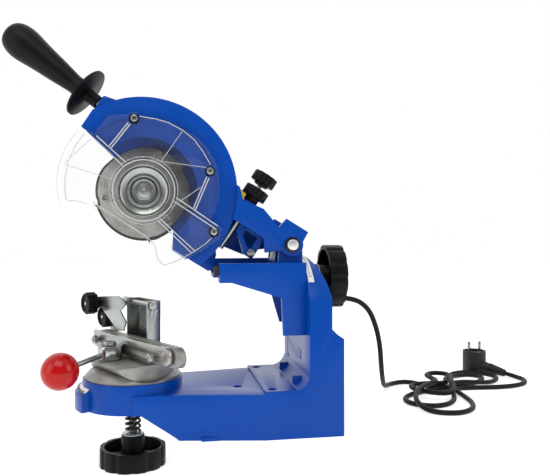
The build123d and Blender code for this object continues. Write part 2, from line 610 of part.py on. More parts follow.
def outer_flange():
    """Deep cup that presses the wheel and is open towards the operator."""
    low = 6 + WHEEL_GAP
    rim = 31.0
    profile = make_face(Polyline((SHAFT_R, low), (FLANGE_R - 2, low), (FLANGE_R, low + 3), (FLANGE_R, rim),
                                 (FLANGE_R - 2.2, rim), (FLANGE_R - 4, rim - 5), (21, rim - 8), (20, rim - 5),
                                 (17, rim - 5), (14.5, rim - 11), (9, rim - 11), (9, 24), (SHAFT_R, 24), close=True))
    cup = revolve(profile, axis=Axis.Y)
    return Pos(SPINDLE[0], 0, SPINDLE[1]) * cup


def flange_screw():
    body = at_spindle(24, 26, 8) + at_spindle(26, 30, 4.5)
    return body - hexagon((SPINDLE[0], 28, SPINDLE[1]), (SPINDLE[0], 31, SPINDLE[1]), 4)


# side handle, on an axis that leans from u: up in the plane of the wheel and away from the operator
HANDLE_RISE = math.radians(6.2)
HANDLE_AWAY = math.radians(11)
HANDLE_DIR = (math.cos(HANDLE_RISE) * math.cos(HANDLE_AWAY), -math.sin(HANDLE_AWAY),
              math.sin(HANDLE_RISE) * math.cos(HANDLE_AWAY))
HANDLE_W = 59.8          # height of the handle over the spindle
HANDLE = Plane(origin=(SPINDLE[0] + BOSS_END, 9, SPINDLE[1] + HANDLE_W), z_dir=HANDLE_DIR).location
HANDLE_STUD_R = 4.0
HANDLE_LONG = 143.0
THUMB_R = 32.0           # thumb flange of the grip


def handle_stud():
    return HANDLE * rod((0, 0, -14), (0, 0, 40), HANDLE_STUD_R)


def handle_grip():
    """Moulded grip: neck, thumb flange, waist and a swelling end."""
    outline = [(HANDLE_STUD_R, 2.5), (8, 2.5), (8.5, 18), (THUMB_R, 21), (THUMB_R, 23.5), (12, 27), (11.5, 40)]
    end = HANDLE_LONG
    swell = Spline((11.5, 40), (14.5, 64), (19, 102), (20.5, end - 14), (16, end - 3), (0, end))
    body = make_face([Polyline(*outline), swell, Polyline((0, end), (0, 41), (HANDLE_STUD_R, 41), (HANDLE_STUD_R, 2.5))])
    turned = revolve(Plane.XZ * body, axis=Axis.Z)
    return HANDLE * turned


def switch_box():
    u, w = SWITCH_U, SWITCH_W
    body = block(u, (SWITCH_V - 34, SWITCH_V), w)
    body -= block((u[0] + 3, u[1] - 3), (SWITCH_V - 31, SWITCH_V - 4), (w[0] + 3, w[1] - 3))
    for place in (69.0, 83.0):
        body -= rod((place, SWITCH_V - 40, BUTTON_W), (place, SWITCH_V - 28, BUTTON_W), BUTTON_R + FACE_GAP)
    return body


def button(u):
    return rod((u, SWITCH_V - 38, BUTTON_W), (u, SWITCH_V - 24, BUTTON_W), BUTTON_R)


def small_knob(u, v, w, stud_r, neck=3.0):
    """Ten-fluted knob whose neck starts at w, along w."""
    knob = fluted_knob(SMALL_KNOB_R, SMALL_KNOB_H - 3, 10, 4, 1.2)
    knob += Pos(0, 0, -neck) * Cylinder(9, neck, align=(Align.CENTER, Align.CENTER, Align.MIN))
    knob -= Pos(0, 0, -neck - 1) * Cylinder(stud_r, 40, align=(Align.CENTER, Align.CENTER, Align.MIN))
    return Pos(u, v, w + neck) * knob


def depth_screw_knob():
    return small_knob(*DEPTH_UV, 41, DEPTH_ROD_R)


def depth_screw_rod():
    u, v = DEPTH_UV
    return rod((u, v, DEPTH_END_W), (u, v, 56.5), DEPTH_ROD_R)


def lock_knob():
    return small_knob(*DEPTH_UV, DEPTH_BOSS_W + FACE_GAP, DEPTH_ROD_R + FIT, neck=24 - DEPTH_BOSS_W - FACE_GAP)


def bracket_bolt():
    v = DEPTH_UV[1]
    return (rod((35.8, v - 9, -35), (35.8, v + 8, -35), 2.5) + hexagon((35.8, v + 4.05, -35), (35.8, v + 9, -35), 9)
            + hexagon((35.8, v - 9, -35), (35.8, v - 4.05, -35), 9))


# ---- turntable and vice, drawn square: s along the rails, y to the rear, z up ----
SWIVEL_REST_DEG = 30.0
VICE = Plane(origin=(TT_X, 0, 0), x_dir=(math.sin(math.radians(SWIVEL_REST_DEG)),
                                         -math.cos(math.radians(SWIVEL_REST_DEG)), 0), z_dir=(0, 0, 1)).location
TABLE_R = 57.5
TABLE_TOP = 77.0
CRADLE_Y = -5.0          # axis of the cradle that tips the vice
CRADLE_Z = 125.0
CRADLE_R = 58.5
SADDLE_TOP = 86.0
JAW_TOP = 112.0
JAW_GAP = 2.0
FIXED_FACE_Y = -2.5      # gripping face of the fixed jaw
JAW_T = 5.0
JAW_LEFT = -88.0
JAW_RIGHT = 100.0
DRUM_R = 15.0
DRUM_S = -12.0
DRUM_BOLT_R = 4.0
LEVER_DIR = (0.2167, -0.9768, -0.162)
LEVER_ROD_R = 3.25
BALL_R = 21.6
BALL_AT = 72.0
JAW_STUDS = ((-74.0, 101.0), (66.0, 98.0))
STOP_LOW_Z = 128.5
STOP_LUG_Y = 16.8        # front of the lug that carries the lower stop screw
STOP_ROD_Y = 16.0
STOP_ROD_Z = 151.5
STOP_ROD_R = 3.5
SLEEVE_R = 6.0


def cradle(radius):
    return rod((-80, CRADLE_Y, CRADLE_Z), (80, CRADLE_Y, CRADLE_Z), radius)


def turntable():
    """Round casting with a trough for the vice and a spigot in the base."""
    profile = make_face(Polyline((0, SEAT_TOP - SPIGOT_DEPTH), (SPIGOT_R - 0.3, SEAT_TOP - SPIGOT_DEPTH),
                                 (SPIGOT_R - 0.3, SEAT_TOP), (TABLE_R, SEAT_TOP), (TABLE_R, SEAT_TOP + 3),
                                 (TABLE_R - 6, SEAT_TOP + 9), (TABLE_R - 15, TABLE_TOP), (0, TABLE_TOP), close=True))
    body = revolve(Plane.XZ * profile, axis=Axis.Z)
    body -= cradle(CRADLE_R + 0.3)
    return body - rod((0, 0, 0), (0, 0, 100), STUD_R)


def turntable_stud():
    """Clamping stud with a domed head in the trough."""
    return rod((0, 0, CLAMP_KNOB_LOW + 5), (0, 0, 68.5), STUD_R) + hexagon((0, 0, 68.5), (0, 0, 74), 15)


def saddle_plan():
    return [(50, -49), (-7, -49), (-44, -34), (-50, -16), (-50, 36), (50, 36)]


def vice_saddle():
    body = slab_xy(saddle_plan(), 60, SADDLE_TOP) & cradle(CRADLE_R)
    s, y = drum_centre()
    body -= rod((s, y, SADDLE_TOP - 8), (s, y, SADDLE_TOP + 1), DRUM_BOLT_R)
    # pocket that clears the head of the clamping stud while the vice tips
    return body - block((-10, 10), (-22, 22), (60, 78))


def jaw_side(low, high, bottom):
    """Long jaw with a rounded near end."""
    left = Polyline((high - 14, JAW_TOP), (low, JAW_TOP), (low, bottom + 3), (low + 6, bottom), (high - 8, bottom))
    nose = ThreePointArc((high - 8, bottom), (high - 1, bottom + 12), (high - 14, JAW_TOP))
    return make_face([left, nose])


def extrude_xz(face, y_low, y_high):
    return Pos(0, y_high, 0) * extrude(Plane.XZ * face, amount=y_high - y_low)


def fixed_jaw():
    """Cast rail on the saddle, with a foot, a rear rib and a lug for the lower stop screw."""
    y = FIXED_FACE_Y
    body = extrude_xz(jaw_side(JAW_LEFT + 8, JAW_RIGHT + 8, SADDLE_TOP + 3), y, y + 11)
    body += block((-46, 46), (y, 30), (SADDLE_TOP, SADDLE_TOP + 6))
    body += slab_yz([(y + 10, SADDLE_TOP + 5), (y + 10, 106), (y + 17, 92), (y + 17, SADDLE_TOP + 5)], 22, 46)
    body += block((-92, -78), (y + 4, STOP_LUG_Y + 4), (96, 106))
    body += block((-92, -78), (STOP_LUG_Y, STOP_LUG_Y + 4), (96, STOP_LOW_Z + 7))
    body -= rod((-85, -40, STOP_LOW_Z), (-85, 60, STOP_LOW_Z), 3)
    for s, z in JAW_STUDS:
        body -= rod((s, -40, z), (s, y + 6, z), 3)
    return body


def jaw_studs():
    """Guide studs with nuts; the moving jaw slides on them."""
    studs = Part()
    front = FIXED_FACE_Y - JAW_GAP - JAW_T
    for s, z in JAW_STUDS:
        studs += rod((s, front - 9, z), (s, FIXED_FACE_Y + 6, z), 3)
        studs += hexagon((s, front - 7.5, z), (s, front - 2.5, z), 10)
    return studs


def moving_jaw():
    front = FIXED_FACE_Y - JAW_GAP - JAW_T
    body = extrude_xz(jaw_side(JAW_LEFT, JAW_RIGHT, 91), front, front + JAW_T)
    for s, z in JAW_STUDS:
        body -= rod((s, -60, z), (s, 60, z), 3 + FIT)
    return body


def drum_centre():
    return DRUM_S, FIXED_FACE_Y - JAW_GAP - JAW_T - DRUM_R - 0.3


def drum_bolt():
    """Pivot bolt of the cam drum, in the saddle."""
    s, y = drum_centre()
    body = rod((s, y, SADDLE_TOP - 8), (s, y, 104), DRUM_BOLT_R) + hexagon((s, y, 103.2), (s, y, 108), 13)
    return body + tube((s, y, SADDLE_TOP), (s, y, SADDLE_TOP + 1.6), 13, DRUM_BOLT_R)


def clamp_drum():
    s, y = drum_centre()
    body = rod((s, y, SADDLE_TOP + 1.8), (s, y, 103), DRUM_R) - rod((s, y, 60), (s, y, 120), DRUM_BOLT_R + FIT)
    return body - lever_rod_solid(LEVER_ROD_R)


def lever_point(distance):
    s, y = drum_centre()
    return tuple(base + distance * part for base, part in zip((s, y, 95.0), LEVER_DIR))


def lever_rod_solid(radius):
    return rod(lever_point(7), lever_point(BALL_AT), radius)


def lever_ball():
    ball = Pos(*lever_point(BALL_AT)) * Sphere(BALL_R)
    ball -= rod(lever_point(BALL_AT - BALL_R - 2), lever_point(BALL_AT), LEVER_ROD_R)
    return ball & block((-200, 200), (-200, 200), (0, 200))


def stop_post():
    """Bent channel behind the fixed jaw that carries the pivot rod of the chain stop."""
    low, high, front, rear = -32.0, 20.0, FIXED_FACE_Y + 11.3, 27.0
    body = block((low, high), (front, rear), (SADDLE_TOP + 6, 157)) - block((low + 2.2, high - 2.2),
                                                                        (front - 1, rear - 2.2), (0, 200))
    return body - rod((-60, STOP_ROD_Y, STOP_ROD_Z), (60, STOP_ROD_Y, STOP_ROD_Z), STOP_ROD_R)


def stop_pivot_rod():
    y, z = STOP_ROD_Y, STOP_ROD_Z
    body = rod((-50, y, z), (27, y, z), STOP_ROD_R) + hexagon((20.05, y, z), (26, y, z), 11)
    return body + tube((-50, y, z), (-49, y, z), SLEEVE_R - 0.5, STOP_ROD_R)


STOP_OUTLINE = ((-106, 152), (-97, 154), (-37, 160), (-23, 155), (-19, 150), (-32, 141), (-23, 133.5), (-17, 129),
                (-23, 117), (-39, 115), (-46, 120), (-84, 141), (-100, 138), (-106, 143))


def stop_plate():
    """Chain stop: flag plate in front of the post, with a hinge sleeve and a web."""
    y, z = STOP_ROD_Y, STOP_ROD_Z
    body = slab_xz(STOP_OUTLINE, -1, 1)
    body += tube((-48.7, y, z), (-34, y, z), SLEEVE_R, STOP_ROD_R + FIT)
    body += block((-48.7, -34), (0, y - STOP_ROD_R - 1), (z - 1.2, z + 1.2))
    return body - rod((-97, -30, 146), (-97, 30, 146), 3)


def stop_knob(s, y, z, toward):
    knob = fluted_knob(SMALL_KNOB_R - 1, 12, 10, 4, 1.2) + Pos(0, 0, -3) * Cylinder(
        8, 3, align=(Align.CENTER, Align.CENTER, Align.MIN))
    turned = Rot(90 * toward, 0, 0) * knob
    return Pos(s, y, z) * turned + rod((s, y - toward * 11.5, z), (s, y + toward * 10, z), 3 - FIT)


# ---- mains cord on the bench, behind and to the right ----
TIE = (300.0, 112.0)     # where the wire tie holds the loops
CORD_ROUTE = [(107.5, 46, 150), (132, 46, 150), (155, 49, 135), (168, 55, 108), (176, 62, 80), (181, 72, 51),
              (190, 92, 25), (203, 122, 7.5), (222, 152, 3.6), (248, 164, 3.6), (265, 152, 3.6), (272, 134, 3.6)]
TAIL_ROUTE = [(334, 107, 3.6), (366, 103, 3.6), (402, 105, 3.6), (430, 118, 3.6), (443, 142, 3.6), (439, 161, 4),
              (429, 178, 6.5)]
# loops of the tied hank: centre from the tie, half length, half width, direction
CORD_LOOPS = [((-34.0, -62.0), 66.0, 36.0, 68.0), ((-44.0, -44.0), 58.0, 30.0, 52.0), ((-29.0, -21.0), 33.0, 28.0, 40.0),
              ((48.0, 41.0), 62.0, 27.0, 42.0), ((42.0, 36.0), 55.0, 21.0, 40.0)]
COIL_BAND = 9.0          # width of one strand's band in the hank
COIL_H = 14.0


def cord_radii(points):
    radii = []
    for a, b, c in zip(points, points[1:], points[2:]):
        first, second = Vector(*b) - Vector(*a), Vector(*c) - Vector(*b)
        half = math.radians(first.get_angle(second)) / 2
        radii.append(0.45 * min(first.length, second.length) / math.tan(half))
    return radii


def cord_tube(points):
    radii = cord_radii(points)
    print("cord arcs", [round(r) for r in radii])
    path = FilletPolyline(*points, radius=radii)
    section = Plane(origin=path @ 0, z_dir=path % 0) * Circle(CORD_R)
    solid = sweep(section, path=path)
    print("cord length", round(path.length), "volume share", round(solid.volume / (path.length * math.pi * CORD_R ** 2), 3))
    return solid


def cord_coil():
    """Hank of loops that fan out on both sides of the tie, as one band for each strand."""
    hank = Rectangle(34, 22)
    for (dx, dy), long, wide, turn in CORD_LOOPS:
        band = Ellipse(long, wide) - Ellipse(long - COIL_BAND, wide - COIL_BAND)
        hank += Pos(dx, dy) * Rot(0, 0, turn) * band
    for end in (CORD_ROUTE[-1], TAIL_ROUTE[0]):
        hank += make_face(strip_outline((0, 0), (end[0] - TIE[0], end[1] - TIE[1]), CORD_R))
    hank = Pos(TIE[0], TIE[1], 0.1) * extrude(hank, amount=COIL_H)
    return hank - cord_tube(CORD_ROUTE) - cord_tube(TAIL_ROUTE)


def strip_outline(start, end, half):
    """Rectangle of a given half width round a line in plan."""
    along = (Vector(*end) - Vector(*start)).normalized() * half
    across = Vector(-along.Y, along.X)
    corners = [Vector(*start) - across, Vector(*end) - across, Vector(*end) + across, Vector(*start) + across]
    return Polyline(*corners, close=True)


def cord_tie():
    x, y = TIE
    return block((x - 3, x + 3), (y - 12, y + 12), (COIL_H + 0.1, COIL_H + 2.0))


PLUG_AT = (399.0, 227.0)
PLUG_R = 19.0
PLUG_FACE_Z = 36.0
PLUG_RECESS = 4.0
PLUG_PIN_R = 2.4
PLUG_PIN_LONG = 19.0
PLUG_PIN_HALF = 9.5      # the pins stand 19 mm apart
PLUG = Plane(origin=TAIL_ROUTE[-1], z_dir=Vector(*TAIL_ROUTE[-1]) - Vector(*TAIL_ROUTE[-2])).location


def plug_body():
    """Moulded angled plug: cord sleeve, round body and a flat face."""
    sleeve = Cone(CORD_R + 1, 9, 42, align=(Align.CENTER, Align.CENTER, Align.MIN))
    body = PLUG * sleeve + rod((*PLUG_AT, 0.2), (*PLUG_AT, PLUG_FACE_Z), PLUG_R)
    return body - rod((*PLUG_AT, PLUG_FACE_Z - PLUG_RECESS), (*PLUG_AT, PLUG_FACE_Z + 1), PLUG_R - 3)


def plug_pins():
    x, y = PLUG_AT
    low = PLUG_FACE_Z - PLUG_RECESS
    pins = Part()
    for side in (PLUG_PIN_HALF, -PLUG_PIN_HALF):
        pins += rod((x + side, y, low), (x + side, y, low + PLUG_PIN_LONG), PLUG_PIN_R)
    return pins


# ---- one file for each node ----
def build():
    head_parts = {
        "head_housing": head_housing, "motor_front_bracket": motor_front_bracket, "motor_body": motor_body,
        "motor_end_cap": motor_end_cap, "motor_stator": motor_stator, "shaft_bearings": shaft_bearings,
        "rotor_shaft": rotor_shaft, "inner_flange": inner_flange, "outer_flange": outer_flange,
        "flange_screw": flange_screw, "clear_guard": clear_guard, "guard_screws": guard_screws,
        "handle_stud": handle_stud, "handle_grip": handle_grip, "switch_box": switch_box,
        "start_button": lambda: button(69.0), "stop_button": lambda: button(83.0),
        "depth_screw_knob": depth_screw_knob, "depth_screw_rod": depth_screw_rod, "lock_knob": lock_knob,
        "bracket_bolt": bracket_bolt,
    }
    vice_parts = {
        "turntable": turntable, "turntable_stud": turntable_stud, "vice_saddle": vice_saddle,
        "fixed_jaw": fixed_jaw, "jaw_studs": jaw_studs, "moving_jaw": moving_jaw, "drum_bolt": drum_bolt,
        "clamp_drum": clamp_drum, "lever_rod": lambda: lever_rod_solid(LEVER_ROD_R), "lever_ball": lever_ball,
        "stop_post": stop_post, "stop_pivot_rod": stop_pivot_rod, "stop_plate": stop_plate,
        "stop_knob_upper": lambda: stop_knob(-97, -4.2, 146, 1),
        "stop_knob_lower": lambda: stop_knob(-85, STOP_LUG_Y - 3.2, STOP_LOW_Z, 1),
    }
    base_parts = {
        "base_frame": base_frame, "tilt_scale_plate": tilt_scale_plate, "angle_scale_plate": angle_scale_plate,
        "cord_gland": cord_gland, "support_arm": support_arm, "tilt_stud": tilt_stud, "hinge_pin": hinge_pin,
        "hinge_clips": hinge_clips, "rest_bumper": rest_bumper, "return_spring": return_spring,
        "tilt_knob": tilt_knob, "tilt_washer": tilt_washer, "clamp_knob": clamp_knob, "knob_washer": knob_washer,
        "knob_spring": knob_spring, "cord_run": lambda: cord_tube(CORD_ROUTE),
        "cord_tail": lambda: cord_tube(TAIL_ROUTE), "cord_coil": cord_coil, "cord_tie": cord_tie,
        "plug_body": plug_body, "plug_pins": plug_pins,
    }
    for name, make in base_parts.items():
        write(name, make())
    for name, make in head_parts.items():
        write(name, HEAD * make())
    for name, make in vice_parts.items():
        write(name, VICE * make())


build()
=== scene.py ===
import json
import math

import bmesh
import bpy
from mathutils import Matrix, Vector


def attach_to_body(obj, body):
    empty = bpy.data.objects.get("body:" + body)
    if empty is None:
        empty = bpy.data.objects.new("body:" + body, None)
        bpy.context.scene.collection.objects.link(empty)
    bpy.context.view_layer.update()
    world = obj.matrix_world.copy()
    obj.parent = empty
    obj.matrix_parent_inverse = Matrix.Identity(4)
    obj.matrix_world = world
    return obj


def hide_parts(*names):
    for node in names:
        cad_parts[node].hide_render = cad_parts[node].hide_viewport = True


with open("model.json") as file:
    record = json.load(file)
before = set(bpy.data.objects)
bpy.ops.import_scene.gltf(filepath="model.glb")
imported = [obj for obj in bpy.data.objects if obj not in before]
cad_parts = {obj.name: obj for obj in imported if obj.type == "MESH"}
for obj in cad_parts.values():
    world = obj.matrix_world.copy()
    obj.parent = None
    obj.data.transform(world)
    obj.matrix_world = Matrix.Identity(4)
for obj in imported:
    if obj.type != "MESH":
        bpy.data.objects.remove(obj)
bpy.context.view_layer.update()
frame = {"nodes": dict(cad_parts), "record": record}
MM = 0.001
MM_TO_M = Matrix.Diagonal((MM, MM, MM, 1))

# ---- Camera and light -------------------------------------------------------
# A level camera at working height in front of the vice, turned a little to the
# right, with white studio light from panels above, on the left and on the right.
CAMERA_AT = (-0.14505, -0.8794, 0.255)
CAMERA_YAW = math.radians(-10.3)
FOCAL_PX = 700.0
IMAGE_W = 550.0
HORIZON_SHIFT_PX = 17.0
SENSOR = 36.0
# strength of the white surroundings for dull surfaces and for the camera, and
# what glossy surfaces mirror in front of the machine and behind it
DULL_RAYS, CAMERA_RAYS = 0.6, 1.0
MIRRORED_FRONT, MIRRORED_BACK = 0.22, 1.25
MIRROR_FRONT_Y, MIRROR_BACK_Y = -0.8, 0.5


def link_object(name, data):
    """New object with the given data, in the scene."""
    piece = bpy.data.objects.new(name, data)
    bpy.context.scene.collection.objects.link(piece)
    return piece


def set_inputs(node, values):
    """Set the plain values of a node's inputs, by title."""
    for title, value in values.items():
        node.inputs[title].default_value = value


def panel_light(name, place, aim, size, power):
    """Rectangular lamp at a place, turned towards its aim."""
    data = bpy.data.lights.new(name, "AREA")
    data.shape = "RECTANGLE"
    data.size, data.size_y = size
    data.energy = power
    lamp = link_object(name, data)
    lamp.location = place
    lamp.rotation_euler = (Vector(aim) - Vector(place)).to_track_quat("-Z", "Y").to_euler()


def studio_world():
    """White surroundings: even for dull surfaces, dark in front and bright behind for glossy ones."""
    world = bpy.data.worlds.new("studio")
    world.use_nodes = True
    nodes, links = world.node_tree.nodes, world.node_tree.links
    sky = nodes["Background"]
    set_inputs(sky, {"Color": (1, 1, 1, 1)})
    rays = nodes.new("ShaderNodeLightPath")
    seen = nodes.new("ShaderNodeMath")
    seen.operation = "MAXIMUM"
    direction, axes = nodes.new("ShaderNodeTexCoord"), nodes.new("ShaderNodeSeparateXYZ")
    walls = nodes.new("ShaderNodeMapRange")
    set_inputs(walls, {"From Min": MIRROR_FRONT_Y, "From Max": MIRROR_BACK_Y,
                       "To Min": MIRRORED_FRONT, "To Max": MIRRORED_BACK})
    lighting, strength = nodes.new("ShaderNodeMix"), nodes.new("ShaderNodeMix")
    set_inputs(lighting, {"A": DULL_RAYS})
    set_inputs(strength, {"B": CAMERA_RAYS})
    for start, end in ((rays.outputs["Is Camera Ray"], seen.inputs[0]),
                       (rays.outputs["Is Transmission Ray"], seen.inputs[1]),
                       (direction.outputs["Generated"], axes.inputs[0]),
                       (axes.outputs["Y"], walls.inputs["Value"]),
                       (walls.outputs["Result"], lighting.inputs["B"]),
                       (rays.outputs["Is Glossy Ray"], lighting.inputs["Factor"]),
                       (lighting.outputs["Result"], strength.inputs["A"]),
                       (seen.outputs[0], strength.inputs["Factor"]),
                       (strength.outputs["Result"], sky.inputs["Strength"])):
        links.new(start, end)
    return world


camera_data = bpy.data.cameras.new("camera")
camera_data.sensor_width = SENSOR
camera_data.lens = FOCAL_PX / IMAGE_W * SENSOR
camera_data.shift_y = -HORIZON_SHIFT_PX / IMAGE_W
camera = link_object("camera", camera_data)
camera.location = CAMERA_AT
camera.rotation_euler = (math.radians(90), 0, CAMERA_YAW)
bpy.context.scene.camera = camera
bpy.context.scene.view_settings.view_transform = "Standard"
panel_light("panel_above", (-0.35, -0.75, 1.35), (-0.05, 0, 0.15), (1.1, 0.8), 7.0)
panel_light("panel_left", (-1.25, -0.55, 0.55), (-0.1, 0, 0.2), (0.7, 1.0), 3.6)
panel_light("panel_right", (1.1, -0.7, 0.75), (0, 0, 0.2), (0.5, 0.9), 3.5)
bpy.context.scene.world = studio_world()

# ---- Bench top and floor ----------------------------------------------------
# The machine is bolted near the front edge of a white bench top, because the
# clamping knob hangs below the foot. The top stands on a pale floor.
FLOOR_Z = -0.0436
BENCH_LOW, BENCH_HIGH = (-0.112, -0.1, FLOOR_Z), (1.6, 1.2, -0.0001)
FLOOR_LOW, FLOOR_HIGH = (-3, -3, FLOOR_Z - 0.02), (4, 4, FLOOR_Z - 0.0002)


def principled(name, color, roughness, metallic=0.0):
    """New material and its Principled shader, with the plain values set."""
    material = bpy.data.materials.new(name)
    material.use_nodes = True
    shader = material.node_tree.nodes["Principled BSDF"]
    set_inputs(shader, {"Base Color": (*color, 1), "Roughness": roughness, "Metallic": metallic})
    return material, shader


def mesh_object(name, draw, *values):
    """Object at the origin whose mesh the given function draws from the values."""
    mesh = bpy.data.meshes.new(name)
    work = bmesh.new()
    draw(work, *values)
    work.to_mesh(mesh)
    work.free()
    return link_object(name, mesh)


def add_block(work, low, high):
    """Axis-aligned box between two corners."""
    low, high = Vector(low), Vector(high)
    turn = Matrix.Translation((low + high) / 2) @ Matrix.Diagonal((*(high - low), 1))
    bmesh.ops.create_cube(work, size=1, matrix=turn)


stage_white, stage_shader = principled("stage_white", (0.9, 0.9, 0.9), 0.7)
set_inputs(stage_shader, {"Specular IOR Level": 0.1,
                          "Emission Color": (1, 1, 1, 1), "Emission Strength": 0.55})
bench = mesh_object("bench_top", add_block, BENCH_LOW, BENCH_HIGH)
floor = mesh_object("floor", add_block, FLOOR_LOW, FLOOR_HIGH)
for part in (bench, floor):
    part.data.materials.append(stage_white)


# ---- Base casting -----------------------------------------------------------
# One aluminium casting: seat ring, hollow deck and column, bolted to a bench.
# It is sprayed in a satin blue enamel that shows a slight orange peel, and its
# edges are rounded by the mould.
MIX_A, MIX_B, MIX_RESULT = 6, 7, 2    # sockets of a mix node set to colours


def surface_group():
    """Shared effect: blotches and fine grain that vary colour and roughness."""
    group = bpy.data.node_groups.new("worn_surface", "ShaderNodeTree")
    sockets = group.interface.new_socket
    color, number = "NodeSocketColor", "NodeSocketFloat"
    for title, kind, value in (("Color", color, (0.5, 0.5, 0.5, 1)), ("Stain", color, (0.4, 0.4, 0.4, 1)),
                               ("Stain Amount", number, 0.4), ("Stain Scale", number, 30.0),
                               ("Grain Scale", number, 900.0), ("Rough Low", number, 0.3),
                               ("Rough High", number, 0.5)):
        sockets(name=title, in_out="INPUT", socket_type=kind).default_value = value
    for title, kind in (("Color", color), ("Roughness", number), ("Height", number)):
        sockets(name=title, in_out="OUTPUT", socket_type=kind)
    nodes, links = group.nodes, group.links
    given, result = nodes.new("NodeGroupInput"), nodes.new("NodeGroupOutput")
    coords = nodes.new("ShaderNodeTexCoord")
    blotch, grain = nodes.new("ShaderNodeTexNoise"), nodes.new("ShaderNodeTexNoise")
    set_inputs(blotch, {"Detail": 5})
    set_inputs(grain, {"Detail": 3})
    for noise, title in ((blotch, "Stain Scale"), (grain, "Grain Scale")):
        links.new(coords.outputs["Object"], noise.inputs["Vector"])
        links.new(given.outputs[title], noise.inputs["Scale"])
    contrast = nodes.new("ShaderNodeMapRange")
    set_inputs(contrast, {"From Min": 0.38, "From Max": 0.66})
    links.new(blotch.outputs["Fac"], contrast.inputs["Value"])
    amount = nodes.new("ShaderNodeMath")
    amount.operation = "MULTIPLY"
    links.new(contrast.outputs["Result"], amount.inputs[0])
    links.new(given.outputs["Stain Amount"], amount.inputs[1])
    stained = nodes.new("ShaderNodeMix")
    stained.data_type = "RGBA"
    links.new(amount.outputs[0], stained.inputs["Factor"])
    links.new(given.outputs["Color"], stained.inputs[MIX_A])
    links.new(given.outputs["Stain"], stained.inputs[MIX_B])
    links.new(stained.outputs[MIX_RESULT], result.inputs["Color"])
    rough = nodes.new("ShaderNodeMapRange")
    links.new(grain.outputs["Fac"], rough.inputs["Value"])
    links.new(given.outputs["Rough Low"], rough.inputs["To Min"])
    links.new(given.outputs["Rough High"], rough.inputs["To Max"])
    links.new(rough.outputs["Result"], result.inputs["Roughness"])
    links.new(grain.outputs["Fac"], result.inputs["Height"])
    return group


WORN = surface_group()
BUMP_STRENGTH = 0.35
# CAD meshes: vertices closer than this are joined, flat facets are merged up
# to the first angle, edges over the second are rounded, and what is still
# sharper than the third stays sharp
WELD = 2e-6
FLAT_ANGLE, ROUNDED_ANGLE, SHARP_ANGLE = math.radians(0.6), math.radians(32), math.radians(34)


def worn_material(name, color, stain, roughness, metallic, bump, **values):
    """Principled material whose colour, roughness and bump come from the shared effect.

    Roughness is a low and a high value, bump a depth in metres, and the other
    values are inputs of the effect, written with underscores."""
    material, shader = principled(name, color, roughness[0], metallic)
    tree = material.node_tree
    effect = tree.nodes.new("ShaderNodeGroup")
    effect.node_tree = WORN
    set_inputs(effect, {"Color": (*color, 1), "Stain": (*stain, 1),
                        "Rough Low": roughness[0], "Rough High": roughness[1]})
    set_inputs(effect, {title.replace("_", " ").title(): value for title, value in values.items()})
    relief = tree.nodes.new("ShaderNodeBump")
    set_inputs(relief, {"Strength": BUMP_STRENGTH, "Distance": bump})
    tree.links.new(effect.outputs["Color"], shader.inputs["Base Color"])
    tree.links.new(effect.outputs["Roughness"], shader.inputs["Roughness"])
    tree.links.new(effect.outputs["Height"], relief.inputs["Height"])
    tree.links.new(relief.outputs["Normal"], shader.inputs["Normal"])
    return material, shader


def attach(piece, body):
    """Let a drawn piece ride on a body."""
    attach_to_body(piece, body)


def shape_of(piece):
    """Plain mesh of an object with its modifiers applied."""
    return bpy.data.meshes.new_from_object(piece.evaluated_get(bpy.context.evaluated_depsgraph_get()))


def softened(node, name, round_off, material, segments=2):
    """Copy of a CAD piece with its edges rounded by so many mm, standing for that piece."""
    mesh = frame["nodes"][node].data.copy()
    work = bmesh.new()
    work.from_mesh(mesh)
    bmesh.ops.remove_doubles(work, verts=work.verts, dist=WELD)
    bmesh.ops.dissolve_limit(work, angle_limit=FLAT_ANGLE, verts=work.verts, edges=work.edges)
    work.to_mesh(mesh)
    work.free()
    mesh.materials.clear()
    mesh.materials.append(material)
    piece = link_object(name, mesh)
    if round_off:
        bevel = piece.modifiers.new("round_off", "BEVEL")
        bevel.width = round_off * MM
        bevel.segments = segments
        bevel.limit_method = "ANGLE"
        bevel.angle_limit = ROUNDED_ANGLE
        bevel.harden_normals = False
        baked = shape_of(piece)
        piece.modifiers.clear()
        piece.data = baked
    piece.data.shade_smooth()
    piece.data.set_sharp_from_angle(angle=SHARP_ANGLE)
    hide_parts(node)
    attach(piece, body_of_node(node))
    return piece


def body_of_node(node):
    """Moving body that carries a CAD piece."""
    for body, members in frame["record"]["behaviour"]["bodies"].items():
        if node in members:
            return body
    raise KeyError(node)


def slot_of_node(node):
    """Material slot of a CAD piece."""
    for part_row in frame["record"]["subparts"]:
        if part_row["node"] == node:
            return part_row["material_slot"]
    raise KeyError(node)


blue, blue_shader = worn_material(
    "blue_enamel", (0.0001, 0.056, 0.345), (0.0001, 0.046, 0.29), (0.24, 0.34), 0.0, 0.00012,
    stain_amount=0.5, stain_scale=9.0, grain_scale=420.0)
set_inputs(blue_shader, {"Specular IOR Level": 0.14, "Coat Weight": 0.06, "Coat Roughness": 0.1})
softened("base_frame", "base_casting", 1.6, blue, 3)
softened("support_arm", "tilting_arm", 1.3, blue, 3)
softened("head_housing", "wheel_guard_casting", 1.2, blue, 3)

